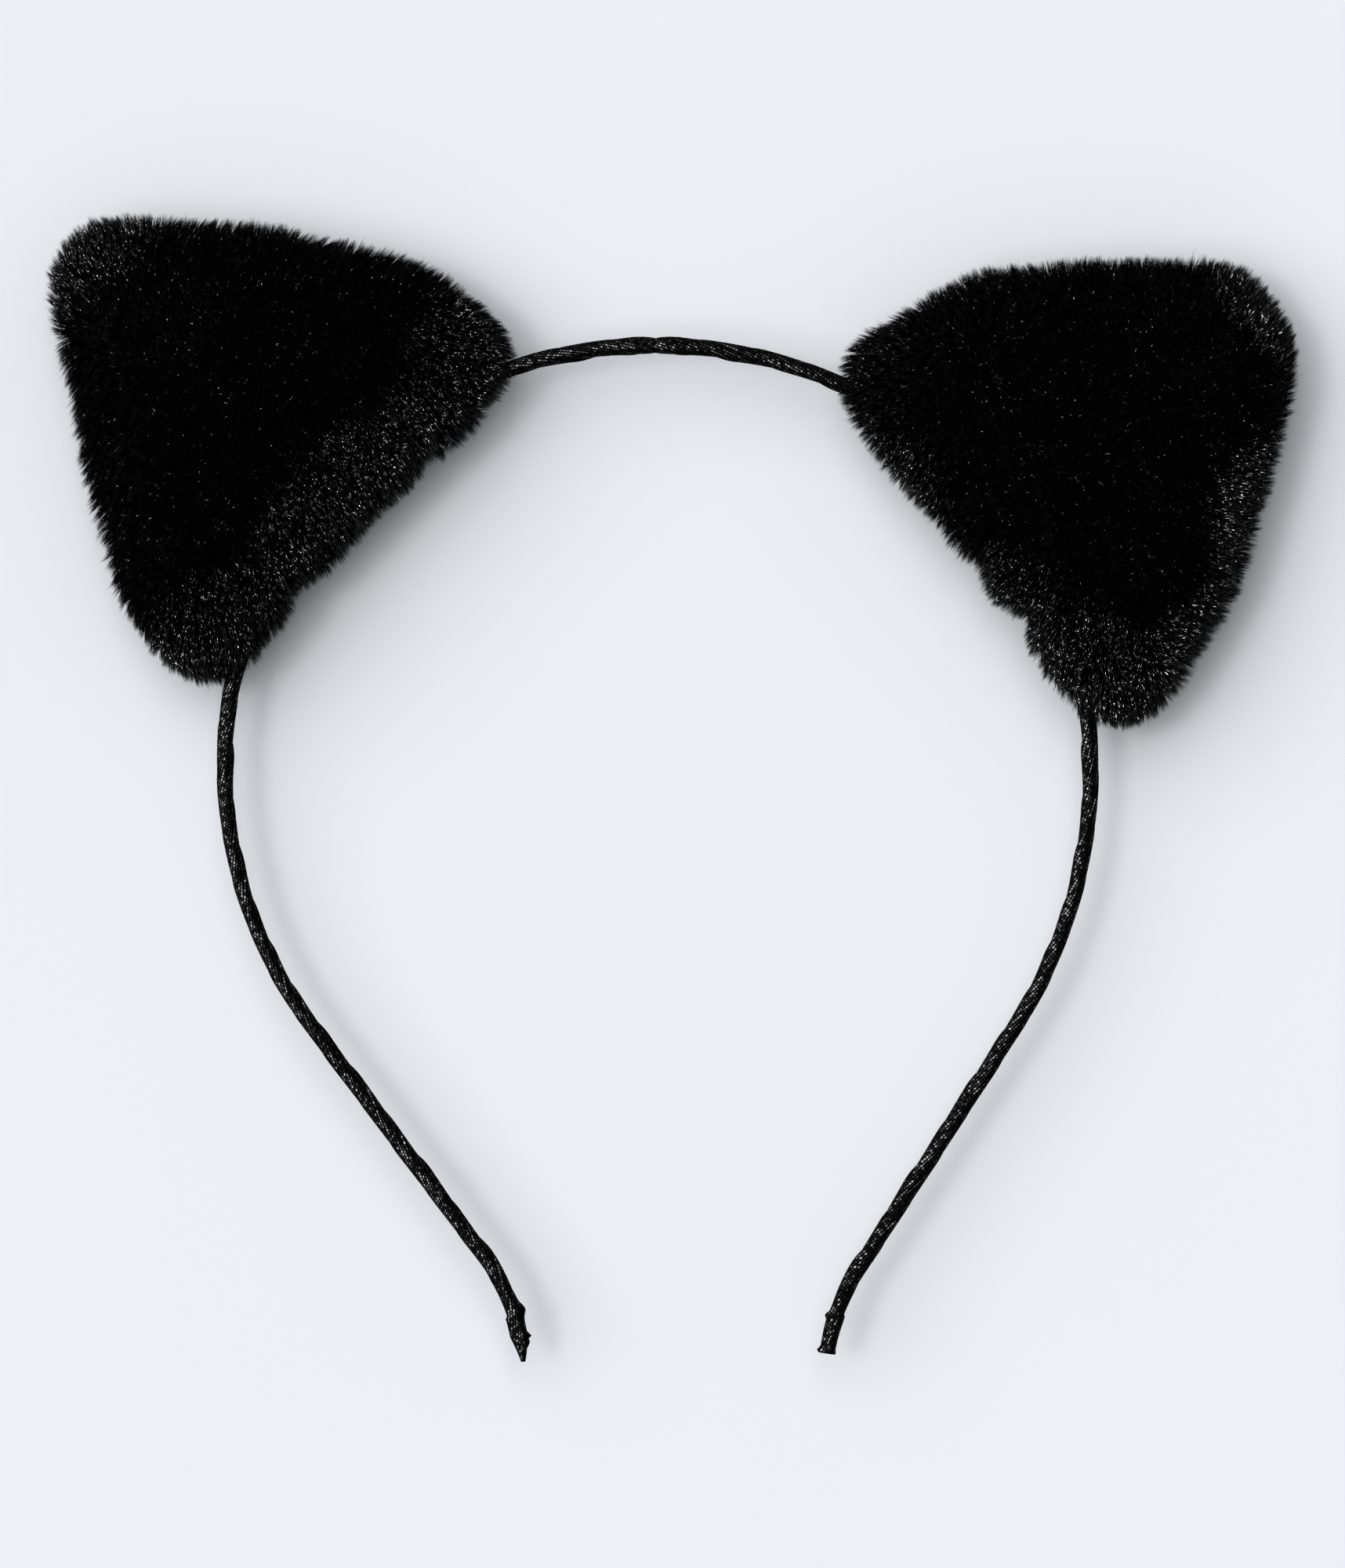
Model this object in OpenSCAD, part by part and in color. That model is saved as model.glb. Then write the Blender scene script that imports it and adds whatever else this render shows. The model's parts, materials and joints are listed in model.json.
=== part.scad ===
// Cat-ear headband: a thin spring-wire hoop wound with ribbon, with two padded plush ears sewn on.
// It lies on its back: X to the right, Y towards the crown, Z up out of the hoop's plane.

/* [Hoop wire] */
// Thickness of the spring wire
wire_d = 1.6; // [1.2:0.1:2]
// Height of the hoop's plane above the surface it lies on
hoop_z = 9; // [8:0.5:12]
// Sideways place of the top of the crown
crown_x = -3; // [-10:0.5:10]
// Distance from the origin to the top of the crown
crown_y = 64.2; // [50:0.1:85]
// Radius of the crown between the ears
crown_r = 68.5; // [55:0.5:85]
// Turn of the crown from its top to the left and right ear, in degrees
crown_sweep = [19, 24]; // [14:0.5:30]
// Radius of the two sides that run through the ears
side_r = 60.6; // [50:0.1:80]
// Turn of the left and right side, in degrees
side_sweep = [58.5, 58]; // [50:0.5:66]
// Radius of the upper leg, left and right
leg_r = [63.5, 69]; // [50:0.5:90]
// Turn of the upper leg, left and right, in degrees
leg_sweep = [49.4, 40.9]; // [34:0.1:56]
// Length of the straight lower leg, left and right
leg_run = [42, 42.5]; // [30:0.5:60]
// Radius of the out-turned tip, left and right
tip_r = [30, 31]; // [24:0.5:45]
// Turn of the tip, left and right, in degrees
tip_sweep = [31, 24.4]; // [18:0.1:36]

/* [Ribbon] */
// Thickness of the wound ribbon on the wire
ribbon_t = 0.3; // [0.2:0.05:0.5]
// Length of the folded ribbon end at each tip
fold_len = 8; // [5:0.5:12]
// Length of the thick part of the fold
fold_collar = 3.5; // [2:0.5:5]
// How much thicker the fold makes the ribbon
fold_t = 0.35; // [0.2:0.05:0.6]
// Length of ribbon left past the end of the wire
ribbon_past = 3; // [1:0.5:5]

/* [Ears] */
// Height of an ear from its base to its tip
ear_h = 59; // [45:1:80]
// Thickness of an ear
ear_t = 18.4; // [14:0.2:24]
// Radius of the rounded tip
ear_tip_r = 10.8; // [7:0.2:14]
// Radius of the inner corner, towards the crown
inner_corner_r = 8.3; // [6:0.1:10]
// Radius of the outer corner, towards the leg
outer_corner_r = 7.9; // [6:0.1:10]
// How far the tip leans towards the crown
tip_lean = 2.8; // [0:0.2:8]
// How far the two long sides bow outwards, on the crown's side and on the leg's side
side_bow = [4.4, 2.6]; // [1:0.1:6]
// How far the base bows towards the hoop's middle
base_bow = 1.4; // [0:0.2:3]
// Where the base bows most, as a share of the way from the inner to the outer corner
base_bow_at = 0.65; // [0.3:0.05:0.7]
// Thickness of the fur fabric with its pile pressed flat
fur_t = 3.5; // [2:0.1:5]
// Thickness of the seams
seam_t = 1; // [0.6:0.1:1.6]
// Thread thickness of the tack stitches
thread_d = 0.6; // [0.4:0.1:1]
// Widest tilt of an ear on the wire, in degrees
ear_tilt = 20; // [0:1:25]

/* [Clearances] */
// Gap between two links of the hoop at a flexing place
flex_gap = 0.8; // [0.6:0.1:1.2]
// Gap between an ear's own layers
layer_gap = 0.15; // [0.1:0.05:0.3]
// Gap between the ribbon and what moves round it
run_gap = 0.5; // [0.35:0.05:0.8]

/* [Hidden] */

left = 0;
right = 1;
wire_fit = 0.08;
band_w = 0.8;
ribbon_bore = wire_d + 2 * wire_fit;
cord_d = ribbon_bore + 2 * ribbon_t;
round_fn = 48;
soft_fn = 30;
slot_fn = 160;
thread_fn = 16;
pocket_fn = 24;
// A cutting block's side, well past the whole headband.
past_all = 400;
// Each corner's disc stands this many of its own radii in from the wire's exit and up from the base.
inner_corner_in = 0.65;
inner_corner_up = 0.85;
outer_corner_in = 0.35;
outer_corner_up = 1.17;
// The seam runs this far inside the edge and is this wide; below base_zone it is the base seam,
// which stops short of the tacks.
seam_in = 1.4;
seam_w = 1.4;
base_zone = 5;
tack_in = 4;
tack_loops = 2;
tack_pitch = 1.2;
seam_stop = tack_in + 5;

// The hoop is a chain of stretches, the same way for both sides: each is [radius, turn], where a
// negative pair turns outwards and a radius of 0 means a straight run of that length.
function stretches(side) = [
    [crown_r, crown_sweep[side]],
    [side_r, side_sweep[side]],
    [leg_r[side], leg_sweep[side]],
    [0, leg_run[side]],
    [-tip_r[side], -tip_sweep[side]]
];
// A joint is [point, heading]; the heading is 0 along +X and grows as the path turns down.
function turn_of(stretch) = stretch[0] == 0 ? 0 : stretch[1];
function move_of(stretch, h) =
    stretch[0] == 0
        ? stretch[1] * [cos(h), -sin(h)]
        : stretch[0] * [sin(h + stretch[1]) - sin(h), cos(h + stretch[1]) - cos(h)];
function next_joint(joint, stretch) = [joint[0] + move_of(stretch, joint[1]), joint[1] + turn_of(stretch)];
function joint_at(side, i) =
    i == 0
        ? [[side == left ? -crown_x : crown_x, crown_y], 0]
        : next_joint(joint_at(side, i - 1), stretches(side)[i - 1]);
function along(joint, stretch, distance) =
    next_joint(joint, stretch[0] == 0 ? [0, distance] : [stretch[0], distance / stretch[0] * 180 / PI]);
function length_of(stretch) = stretch[0] == 0 ? stretch[1] : stretch[0] * stretch[1] * PI / 180;

// Everything is drawn for the right side and mirrored for the left.
module on_side(side) {
    if (side == left)
        mirror([1, 0, 0]) children();
    else
        children();
}

// A round profile swept from one distance to another along stretch i of the hoop.
module cord(side, i, from, to, d, bore = 0) {
    stretch = stretches(side)[i];
    start = along(joint_at(side, i), stretch, from);
    swept = to - from;
    if (stretch[0] == 0)
        translate([start[0][0], start[0][1], hoop_z])
            rotate([0, 0, -start[1]])
                rotate([0, 90, 0])
                    difference() {
                        cylinder(d = d, h = swept, $fn = round_fn);
                        if (bore > 0)
                            translate([0, 0, -1])
                                cylinder(d = bore, h = swept + 2, $fn = round_fn);
                    }
    else {
        r = abs(stretch[0]);
        inwards = stretch[0] > 0;
        centre = start[0] - stretch[0] * [sin(start[1]), cos(start[1])];
        sweep = swept / r * 180 / PI;
        first = inwards ? 90 - start[1] - sweep : 270 - start[1];
        translate([centre[0], centre[1], hoop_z])
            rotate([0, 0, first])
                rotate_extrude(angle = sweep, $fn = round_fn)
                    translate([r, 0])
                        difference() {
                            circle(d = d);
                            if (bore > 0)
                                circle(d = bore);
                        }
    }
}

// A short band over the place where stretch i - 1 runs on into stretch i.
module band(side, i, d, bore = 0) {
    joint = joint_at(side, i);
    translate([joint[0][0], joint[0][1], hoop_z])
        rotate([0, 0, -joint[1]])
            rotate([0, 90, 0])
                difference() {
                    cylinder(d = d, h = band_w, center = true, $fn = round_fn);
                    if (bore > 0)
                        cylinder(d = bore, h = band_w + 1, center = true, $fn = round_fn);
                }
}

function leg_end(side) = length_of(stretches(side)[4]);

// Spring wire: the crown link, and one link through each ear and one down each leg.
module wire_crown() {
    color("silver")
        cord(right, 0, flex_gap / 2 - length_of(stretches(left)[0]),
             length_of(stretches(right)[0]) - flex_gap / 2, wire_d);
}

module wire_side(side) {
    color("silver")
        on_side(side)
            cord(side, 1, flex_gap / 2, length_of(stretches(side)[1]) - flex_gap / 2, wire_d);
}

module wire_leg(side) {
    color("silver")
        on_side(side) {
            cord(side, 2, flex_gap / 2, length_of(stretches(side)[2]), wire_d);
            cord(side, 3, 0, leg_run[side], wire_d);
            cord(side, 4, 0, leg_end(side) - ribbon_past, wire_d);
            for (i = [3, 4])
                band(side, i, wire_d + wire_fit);
        }
}

// Ribbon windings: plain sleeves of the wound thickness.
module ribbon_crown(side) {
    color("black")
        on_side(side)
            cord(side, 0, layer_gap / 2, length_of(stretches(side)[0]) - flex_gap / 2, cord_d, ribbon_bore);
}

module ribbon_side(side) {
    color("black")
        on_side(side)
            cord(side, 1, flex_gap / 2, length_of(stretches(side)[1]) - flex_gap / 2, cord_d, ribbon_bore);
}

module ribbon_leg(side) {
    color("black")
        on_side(side) {
            cord(side, 2, flex_gap / 2, length_of(stretches(side)[2]), cord_d, ribbon_bore);
            cord(side, 3, 0, leg_run[side], cord_d, ribbon_bore);
            cord(side, 4, 0, leg_end(side) - fold_len - layer_gap, cord_d, ribbon_bore);
            for (i = [3, 4])
                band(side, i, cord_d + wire_fit, ribbon_bore - wire_fit);
        }
}

// Folded ribbon end: a thick collar where the ribbon turns back, and a cuff past the end of the wire.
module ribbon_end(side) {
    fold_from = leg_end(side) - fold_len;
    color("black")
        on_side(side)
            difference() {
                union() {
                    cord(side, 4, fold_from, fold_from + fold_collar, cord_d + 2 * fold_t);
                    cord(side, 4, fold_from + fold_collar / 2, leg_end(side), cord_d);
                }
                cord(side, 4, fold_from - 1, leg_end(side) - ribbon_past + wire_fit, ribbon_bore);
            }
}

// An ear is drawn with X along its base, from the inner exit of the wire to the outer one, Y
// towards its tip and Z = 0 in the hoop's plane.
function base_from(side) = joint_at(side, 1)[0];
function base_to(side) = joint_at(side, 2)[0];
function base_len(side) = norm(base_to(side) - base_from(side));
module on_ear(side) {
    mid = (base_from(side) + base_to(side)) / 2;
    run = base_to(side) - base_from(side);
    on_side(side)
        translate([mid[0], mid[1], hoop_z])
            rotate([0, 0, atan2(run[1], run[0])])
                children();
}

// The ear's outline is wrapped round these discs, each [x, y, radius].
function ear_discs(side) =
    let (
        half = base_len(side) / 2,
        inner = [-half + inner_corner_in * inner_corner_r, inner_corner_up * inner_corner_r, inner_corner_r],
        outer = [half - outer_corner_in * outer_corner_r, outer_corner_up * outer_corner_r, outer_corner_r],
        tip = [-tip_lean, ear_h - ear_tip_r, ear_tip_r],
        base = inner * (1 - base_bow_at) + outer * base_bow_at
    )
    [
        inner, outer, tip,
        (inner + tip) / 2 + [0, 0, side_bow[0]],
        (outer + tip) / 2 + [0, 0, side_bow[1]],
        base + [0, 0, base_bow]
    ];

// The whole ear, or the same shape a given depth inside it.
module ear_solid(side, depth = 0) {
    intersection() {
        hull()
            for (disc = ear_discs(side))
                translate([disc[0], disc[1], 0])
                    scale([1, 1, (ear_t / 2 - depth) / (disc[2] - depth)])
                        sphere(r = disc[2] - depth, $fn = soft_fn);
        translate([-past_all / 2, -past_all / 2, depth - hoop_z])
            cube(past_all);
    }
}

module ear_plate(side, depth, t) {
    translate([0, 0, -t / 2])
        linear_extrude(t)
            hull()
                for (disc = ear_discs(side))
                    translate([disc[0], disc[1]])
                        circle(r = disc[2] - depth, $fn = soft_fn);
}

// Rise of the wire's arc over the straight base of the ear.
function wire_rise(side) = side_r - sqrt(side_r * side_r - pow(base_len(side) / 2, 2));

// The space the wire keeps inside an ear: a slot along its arc, deep enough for the tilt.
module wire_slot(side) {
    drop = wire_rise(side) * sin(ear_tilt);
    back = wire_rise(side) * (1 - cos(ear_tilt));
    slot_r = cord_d / 2 + run_gap;
    translate([0, wire_rise(side) - side_r, 0])
        rotate_extrude($fn = slot_fn)
            translate([side_r, 0]) {
                circle(r = slot_r, $fn = thread_fn);
                translate([-slot_r - back, -drop - slot_r])
                    square([2 * slot_r + back, drop + slot_r]);
            }
}

// Cuts an ear into its front (way 1) and back (way -1) half.
module half_space(way) {
    translate([-past_all / 2, -past_all / 2, way > 0 ? layer_gap / 2 : -past_all - layer_gap / 2])
        cube(past_all);
}

module fur_shell(side) {
    difference() {
        ear_solid(side);
        ear_solid(side, fur_t);
        wire_slot(side);
        seam_groove(side);
        tack_pockets(side);
    }
}

module seam_groove(side) {
    difference() {
        ear_plate(side, seam_in - layer_gap, seam_t + 2 * layer_gap);
        ear_plate(side, seam_in + seam_w + layer_gap, seam_t + 4);
    }
}

module fur_front(side) {
    color([0.03, 0.03, 0.03])
        on_ear(side)
            intersection() {
                fur_shell(side);
                half_space(1);
            }
}

module fur_back(side) {
    color([0.03, 0.03, 0.03])
        on_ear(side)
            intersection() {
                fur_shell(side);
                half_space(-1);
            }
}

module wadding(side) {
    color("white")
        on_ear(side)
            difference() {
                ear_solid(side, fur_t + layer_gap);
                wire_slot(side);
                tack_pockets(side);
            }
}

// The stitched edge: round the two long sides, and separately across the base between the tacks.
module seam_ring(side) {
    difference() {
        ear_plate(side, seam_in, seam_t);
        ear_plate(side, seam_in + seam_w, seam_t + 2);
        wire_slot(side);
        tack_pockets(side);
    }
}

module edge_seam(side) {
    color([0.05, 0.05, 0.05])
        on_ear(side)
            intersection() {
                seam_ring(side);
                translate([-past_all / 2, base_zone + layer_gap, -past_all / 2])
                    cube(past_all);
            }
}

module base_seam(side) {
    color([0.05, 0.05, 0.05])
        on_ear(side)
            intersection() {
                seam_ring(side);
                translate([-base_len(side) / 2 + seam_stop, base_zone - past_all, -past_all / 2])
                    cube([base_len(side) - 2 * seam_stop, past_all, past_all]);
            }
}

// Tack stitches: two loops of thread round the ribbon near each corner, wide enough for the tilt.
function tack_r(side) = cord_d / 2 + run_gap + tack_shift(side) / 2;
function tack_shift(side) = wire_rise(side) * (1 - pow(1 - 2 * tack_in / base_len(side), 2)) * sin(ear_tilt);

module at_tack(side, end) {
    way = end == "inner" ? -1 : 1;
    reach = asin((base_len(side) / 2 - tack_in) / side_r) * way;
    translate([0, wire_rise(side) - side_r, 0])
        rotate([0, 0, -reach])
            translate([0, side_r, -tack_shift(side) / 2])
                rotate([0, 90, 0])
                    children();
}

module tack(side, end) {
    color([0.05, 0.05, 0.05])
        on_ear(side)
            at_tack(side, end)
                for (loop = [0 : tack_loops - 1])
                    translate([0, 0, (loop - (tack_loops - 1) / 2) * tack_pitch])
                        rotate_extrude($fn = round_fn)
                            translate([tack_r(side) + thread_d / 2, 0])
                                circle(d = thread_d, $fn = thread_fn);
}

module tack_pockets(side) {
    width = (tack_loops - 1) * tack_pitch + thread_d + 2 * layer_gap;
    for (end = ["inner", "outer"])
        at_tack(side, end)
            cylinder(r = tack_r(side) + thread_d + layer_gap, h = width, center = true, $fn = pocket_fn);
}

wire_crown();
wire_side(left);  // wire_side_left
wire_side(right);  // wire_side_right
wire_leg(left);  // wire_leg_left
wire_leg(right);  // wire_leg_right
ribbon_crown(left);  // ribbon_crown_left
ribbon_crown(right);  // ribbon_crown_right
ribbon_side(left);  // ribbon_side_left
ribbon_side(right);  // ribbon_side_right
ribbon_leg(left);  // ribbon_leg_left
ribbon_leg(right);  // ribbon_leg_right
ribbon_end(left);  // ribbon_end_left
ribbon_end(right);  // ribbon_end_right
fur_front(left);  // fur_front_left
fur_front(right);  // fur_front_right
fur_back(left);  // fur_back_left
fur_back(right);  // fur_back_right
wadding(left);  // wadding_left
wadding(right);  // wadding_right
edge_seam(left);  // edge_seam_left
edge_seam(right);  // edge_seam_right
base_seam(left);  // base_seam_left
base_seam(right);  // base_seam_right
tack(left, "inner");  // inner_tack_left
tack(right, "inner");  // inner_tack_right
tack(left, "outer");  // outer_tack_left
tack(right, "outer");  // outer_tack_right
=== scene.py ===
"""Cat-ear headband: a spring-wire hoop wound with ribbed black ribbon and two faux-fur ears.

It lies on its back on a pale table top, seen from straight above. Lengths are in metres.
"""
import json
import math

import bmesh
import bpy
import numpy as np
from mathutils import Matrix, Vector
from mathutils.kdtree import KDTree


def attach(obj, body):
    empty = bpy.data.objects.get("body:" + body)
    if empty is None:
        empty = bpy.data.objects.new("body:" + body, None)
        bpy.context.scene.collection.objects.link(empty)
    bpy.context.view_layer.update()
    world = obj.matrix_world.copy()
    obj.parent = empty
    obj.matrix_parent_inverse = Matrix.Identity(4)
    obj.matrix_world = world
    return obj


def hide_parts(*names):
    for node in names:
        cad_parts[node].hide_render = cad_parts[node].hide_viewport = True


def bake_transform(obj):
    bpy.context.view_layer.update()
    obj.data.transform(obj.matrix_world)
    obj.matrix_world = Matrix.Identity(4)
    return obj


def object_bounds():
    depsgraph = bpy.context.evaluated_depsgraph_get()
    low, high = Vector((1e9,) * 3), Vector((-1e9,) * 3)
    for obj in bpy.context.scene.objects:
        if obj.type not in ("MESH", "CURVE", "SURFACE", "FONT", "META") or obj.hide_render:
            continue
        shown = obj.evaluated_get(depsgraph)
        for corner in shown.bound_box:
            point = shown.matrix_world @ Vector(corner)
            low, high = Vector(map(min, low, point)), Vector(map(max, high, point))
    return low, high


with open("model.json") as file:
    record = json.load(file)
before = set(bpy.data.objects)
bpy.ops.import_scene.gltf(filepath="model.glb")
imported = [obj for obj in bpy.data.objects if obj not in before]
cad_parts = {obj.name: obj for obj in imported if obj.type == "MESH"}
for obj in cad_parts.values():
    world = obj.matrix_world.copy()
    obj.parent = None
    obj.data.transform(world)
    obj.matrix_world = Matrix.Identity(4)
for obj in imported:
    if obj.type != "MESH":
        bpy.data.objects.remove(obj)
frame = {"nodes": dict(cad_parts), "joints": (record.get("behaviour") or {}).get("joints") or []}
cad_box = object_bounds()
joints = {joint["name"]: joint for joint in frame["joints"]}

# ---------------------------------------------------------------- table top
# A pale blue-white sheet of matt card, far wider than the headband, so no edge of it shows.
CARD_COLOUR = (0.864, 0.876, 0.898, 1)
CARD_HALF = 2.5
CARD_MOTTLE = 0.985


def new_finish(name):
    """A new material with its nodes, links and shader."""
    material = bpy.data.materials.new(name)
    material.use_nodes = True
    tree = material.node_tree
    return material, tree.nodes, tree.links, tree.nodes["Principled BSDF"]


def card_material():
    """Matt card with the faintest mottling of its coating."""
    material, nodes, links, shader = new_finish("pale_card")
    place = nodes.new("ShaderNodeTexCoord")
    mottle = nodes.new("ShaderNodeTexNoise")
    mottle.inputs["Scale"].default_value = 9.0
    mottle.inputs["Detail"].default_value = 3.0
    tint = nodes.new("ShaderNodeMix")
    tint.data_type = "RGBA"
    tint.inputs["A"].default_value = CARD_COLOUR
    tint.inputs["B"].default_value = [CARD_MOTTLE * part for part in CARD_COLOUR[:3]] + [1]
    links.new(place.outputs["Object"], mottle.inputs["Vector"])
    links.new(mottle.outputs["Fac"], tint.inputs["Factor"])
    links.new(tint.outputs["Result"], shader.inputs["Base Color"])
    shader.inputs["Roughness"].default_value = 0.9
    shader.inputs["Specular IOR Level"].default_value = 0.1
    return material


def add_card():
    mesh = bpy.data.meshes.new("card")
    sheet = bmesh.new()
    bmesh.ops.create_grid(sheet, x_segments=2, y_segments=2, size=CARD_HALF)
    sheet.to_mesh(mesh)
    sheet.free()
    mesh.materials.append(card_material())
    card = bpy.data.objects.new("card", mesh)
    bpy.context.collection.objects.link(card)


add_card()

# ---------------------------------------------------------------- camera and lights
# The camera looks straight down from over a metre with a long lens, so the hoop keeps its true
# shape. A broad key light comes from the left and a wide one from overhead. Two gloss lamps pick
# out only the ribbon's beads and the fur's guard hairs.
CAMERA_RISE = 1.2
FRAME_TALL = 0.23
SENSOR = 36.0
CAMERA_ASIDE = (-0.0006, 0.0003)
hoop_z = joints["crown_left_flex"]["pos_m"][2]
low, high = (Vector(corner) for corner in cad_box)
middle = (low + high) / 2

camera_data = bpy.data.cameras.new("camera")
camera_data.sensor_width = SENSOR
camera_data.lens = SENSOR * CAMERA_RISE / FRAME_TALL
camera = bpy.data.objects.new("camera", camera_data)
camera.location = (middle.x + CAMERA_ASIDE[0], middle.y + CAMERA_ASIDE[1], hoop_z + CAMERA_RISE)
bpy.context.collection.objects.link(camera)
bpy.context.scene.camera = camera
bpy.context.scene.view_settings.view_transform = "Standard"
bpy.context.scene.view_settings.gamma = 0.85
KEY_RISE = math.radians(64)


def far_lamp(name, energy, angle, way):
    """A far lamp that shines one way, angle degrees wide."""
    light = bpy.data.lights.new(name, "SUN")
    light.energy = energy
    light.angle = math.radians(angle)
    lamp = bpy.data.objects.new(name, light)
    lamp.rotation_euler = Vector(way).to_track_quat("-Z", "Y").to_euler()
    bpy.context.collection.objects.link(lamp)
    return lamp


def gloss_lamp(name, energy, angle, way):
    """A far lamp that only the glossy finish of the pieces given to it picks up."""
    lamp = far_lamp(name, energy, angle, way)
    lamp.visible_diffuse = False
    lamp.light_linking.receiver_collection = bpy.data.collections.new(name)
    return lamp.light_linking.receiver_collection


key = far_lamp("key_light", 0.36, 14, (math.cos(KEY_RISE), -0.06, -math.sin(KEY_RISE)))
key.data.color = (1.0, 0.985, 0.96)
overhead = far_lamp("overhead_light", 2.25, 80, (0.5, -0.32, -1))
overhead.data.color = (0.975, 0.98, 1.0)
overhead.visible_glossy = False
ribbon_glints = gloss_lamp("ribbon_glints", 11.0, 105, (0.64, -0.08, -0.76))
fur_glints = gloss_lamp("fur_glints", 19.0, 18, (0.42, -0.05, -0.9))
world = bpy.data.worlds.new("studio")
world.use_nodes = True
world.node_tree.nodes["Background"].inputs["Color"].default_value = (0.95, 0.965, 1.0, 1)
world.node_tree.nodes["Background"].inputs["Strength"].default_value = 0.33
world.cycles_visibility.glossy = False
bpy.context.scene.world = world

# ---------------------------------------------------------------- spring wire
# Drawn spring steel, straightened and cut: fine scratches run round it from the drawing die.


def wire_material():
    material, nodes, links, shader = new_finish("spring_steel")
    place = nodes.new("ShaderNodeTexCoord")
    drawn = nodes.new("ShaderNodeTexNoise")
    drawn.inputs["Scale"].default_value = 1400.0
    drawn.inputs["Detail"].default_value = 4.0
    shade = nodes.new("ShaderNodeMapRange")
    shade.inputs["To Min"].default_value = 0.22
    shade.inputs["To Max"].default_value = 0.42
    links.new(place.outputs["Object"], drawn.inputs["Vector"])
    links.new(drawn.outputs["Fac"], shade.inputs["Value"])
    links.new(shade.outputs["Result"], shader.inputs["Roughness"])
    shader.inputs["Base Color"].default_value = (0.50, 0.50, 0.51, 1)
    shader.inputs["Metallic"].default_value = 1.0
    return material


def paint_node(node, material):
    """Gives a part that already has its true shape its finish."""
    part = frame["nodes"][node]
    part.data.materials.clear()
    part.data.materials.append(material)


spring_steel = wire_material()
for link in ("crown", "side_left", "side_right", "leg_left", "leg_right"):
    paint_node(f"wire_{link}", spring_steel)

# ---------------------------------------------------------------- ribbon winding
# Narrow black ribbon with a fine beaded rib, wound over the wire in a lapped spiral from the top
# of the crown down each leg. Each turn laps the one before, which leaves a soft step.
SIDES = ("left", "right")
MM = 0.001
# Each half of the hoop from the top of the crown: radius and turn in degrees of the crown, the side,
# the upper leg, the straight lower leg (no radius, then its length) and the out-turned tip.
HOOP = {
    "left": ((68.5, 19), (60.6, 58.5), (63.5, 49.4), (0, 42), (-30, -31)),
    "right": ((68.5, 24), (60.6, 58), (69, 40.9), (0, 42.5), (-31, -24.4)),
}
CROWN_TOP = (-0.003, 0.0642)
RIBBON_R = 1.02 * MM
LAPS = 3
LAP_GAP = 7.7 * MM
LAP_STEP = 0.3 * MM
RIBS = 16
RIB_RISE = 0.05 * MM
RIB_POINTS = 6
BEAD_GAP = 0.46 * MM
ALONG = 0.35 * MM


def way_of(side):
    return -1 if side == "left" else 1


def stretch_length(turn):
    radius, sweep = turn
    return (sweep if radius == 0 else radius * math.radians(sweep)) * MM


def hoop_length(side, stretches=5):
    return sum(stretch_length(turn) for turn in HOOP[side][:stretches])


def hoop_at(side, distance):
    """The middle of the wire and its heading, a distance from the top of the crown."""
    way = way_of(side)
    x, y, heading = way * CROWN_TOP[0], CROWN_TOP[1], 0.0
    for number, (radius, sweep) in enumerate(HOOP[side]):
        length = stretch_length((radius, sweep))
        last = number == len(HOOP[side]) - 1
        step = distance if last else min(distance, length)
        if radius == 0:
            x += step * math.cos(heading)
            y -= step * math.sin(heading)
        else:
            bend = step / (radius * MM)
            x += radius * MM * (math.sin(heading + bend) - math.sin(heading))
            y += radius * MM * (math.cos(heading + bend) - math.cos(heading))
            heading += bend
        distance -= step
        if distance <= 0:
            break
    return Vector((way * x, y, hoop_z)), Vector((way * math.cos(heading), -math.sin(heading), 0))


def on_cord(side, distance, angle, radius):
    """A point on the cord's surface: angle 0 is the hoop's outside and a quarter turn is the top."""
    centre, forward = hoop_at(side, distance)
    outward = Vector((forward.y, -forward.x, 0)) * -way_of(side)
    return centre + radius * (math.cos(angle) * outward + math.sin(angle) * Vector((0, 0, 1)))


def drift(distance):
    """Hand winding is never quite even."""
    return 0.8 * MM * math.sin(distance / (19 * MM)) + 0.45 * MM * math.sin(distance / (7.3 * MM) + 1)


def wound_radius(side, distance, around, angle):
    """The winding's radius: a crisp step at each lapped edge, a slow fall after it, and fine ribs."""
    lap = -way_of(side) * LAPS * around
    share = lap % 1.0
    rise = min(share / 0.08, 1.0)
    wobble = 1 + 0.35 * math.sin(distance / (5.9 * MM) + 2.1 * math.floor(lap))
    inner = 0.68 - 0.32 * math.cos(angle)
    step = LAP_STEP * inner * wobble * rise * rise * (3 - 2 * rise) * (1 - share)
    rib = RIB_RISE * abs(math.sin(math.pi * RIBS * around)) ** 0.7
    oval = 0.05 * MM * math.cos(2 * angle + distance / (13 * MM))
    return RIBBON_R + step + rib + oval


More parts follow.
